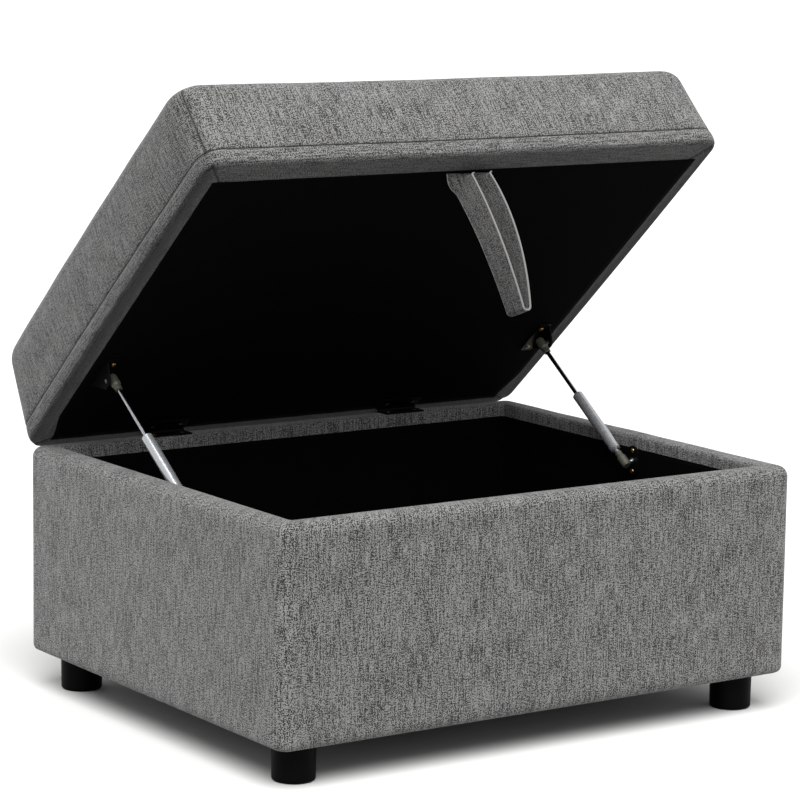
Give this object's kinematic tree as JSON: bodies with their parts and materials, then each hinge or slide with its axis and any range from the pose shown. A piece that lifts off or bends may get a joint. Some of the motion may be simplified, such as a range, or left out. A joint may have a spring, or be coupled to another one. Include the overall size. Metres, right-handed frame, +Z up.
{
  "type": "storage ottoman",
  "caption": "Upholstered storage ottoman with a hinged padded lid held open by gas struts, a fabric pull loop, a black lined interior and round black legs.",
  "frame": {"origin": "on the floor under the middle of the open ottoman's bounding box", "axes": "+X to the right seen from the front, +Y to the back where the hinges are, +Z up"},
  "size_m": [0.812, 0.7037, 0.8368],
  "materials": {
    "grey_chenille": "heathered woven upholstery fabric",
    "black_lining": "black non-woven cloth",
    "foam": "open-cell foam",
    "board": "raw particle board",
    "leg_black": "satin moulded",
    "zinc_steel": "zinc plated",
    "hinge_black": "dark coated steel",
    "bracket_black": "black coated steel",
    "strut_silver": "silver paint",
    "strut_rod": "blackened steel",
    "socket_nylon": "moulded nylon",
    "seal_rubber": "matt"
  },
  "bodies": {
    "base": {"base_panel_front": "board", "base_panel_back": "board", "base_panel_left": "board", "base_panel_right": "board", "base_padding": "foam", "base_cover_front": "grey_chenille", "base_cover_back": "grey_chenille", "base_cover_left": "grey_chenille", "base_cover_right": "grey_chenille", "storage_floor": "board", "storage_floor_lining": "black_lining", "storage_wall_lining": "black_lining", "base_dust_cover": "black_lining", "corner_blocks": "board", "leg_tee_nuts": "zinc_steel", "leg_bolts": "zinc_steel", "leg_front_left": "leg_black", "leg_front_right": "leg_black", "leg_back_left": "leg_black", "leg_back_right": "leg_black", "hinge_base_leaf_left": "hinge_black", "hinge_base_leaf_right": "hinge_black", "hinge_pin_left": "zinc_steel", "hinge_pin_right": "zinc_steel", "base_bracket_left": "bracket_black", "base_bracket_right": "bracket_black"},
    "lid": {"lid_board": "board", "lid_foam": "foam", "lid_cover_top": "grey_chenille", "lid_cover_band": "grey_chenille", "lid_dust_cover": "black_lining", "pull_loop": "grey_chenille", "hinge_lid_leaf_left": "hinge_black", "hinge_lid_leaf_right": "hinge_black", "lid_bracket_left": "bracket_black", "lid_bracket_right": "bracket_black", "lid_ball_stud_left": "zinc_steel", "lid_ball_stud_right": "zinc_steel"},
    "left_rod": {"rod_end_socket_left": "socket_nylon", "strut_rod_left": "strut_rod", "strut_piston_left": "strut_rod"},
    "left_tube": {"strut_tube_left": "strut_silver", "strut_gland_left": "seal_rubber", "tube_end_socket_left": "socket_nylon", "base_ball_stud_left": "zinc_steel"},
    "right_rod": {"rod_end_socket_right": "socket_nylon", "strut_rod_right": "strut_rod", "strut_piston_right": "strut_rod"},
    "right_tube": {"strut_tube_right": "strut_silver", "strut_gland_right": "seal_rubber", "tube_end_socket_right": "socket_nylon", "base_ball_stud_right": "zinc_steel"}
  },
  "joints": [
    {"name": "lid_hinge", "type": "hinge", "parent": "base", "child": "lid", "pos_m": [0, 0.28214, 0.332], "axis": [-1, 0, 0], "range_deg": [-41.59, 0], "stiffness_Nm_per_rad": 8, "springref_deg": 177.62},
    {"name": "strut_swing_left", "type": "hinge", "parent": "lid", "child": "left_rod", "pos_m": [-0.35, 0.14289, 0.43421], "axis": [1, 0, 0], "range_deg": [-69.43, 0]},
    {"name": "strut_slide_left", "type": "slide", "parent": "left_rod", "child": "left_tube", "axis": [0, -0.8151, -0.5794], "range_m": [-0.07613, 0]},
    {"name": "strut_swing_right", "type": "hinge", "parent": "lid", "child": "right_rod", "pos_m": [0.35, 0.14289, 0.43421], "axis": [1, 0, 0], "range_deg": [-69.43, 0]},
    {"name": "strut_slide_right", "type": "slide", "parent": "right_rod", "child": "right_tube", "axis": [0, -0.8151, -0.5794], "range_m": [-0.07613, 0]}
  ],
  "couplings": [
    {"joint": "strut_swing_left", "follows": "lid_hinge", "ratio": 1.6682},
    {"joint": "strut_slide_left", "follows": "lid_hinge", "m_per_rad": 0.10474},
    {"joint": "strut_swing_right", "follows": "lid_hinge", "ratio": 1.6682},
    {"joint": "strut_slide_right", "follows": "lid_hinge", "m_per_rad": 0.10474}
  ]
}
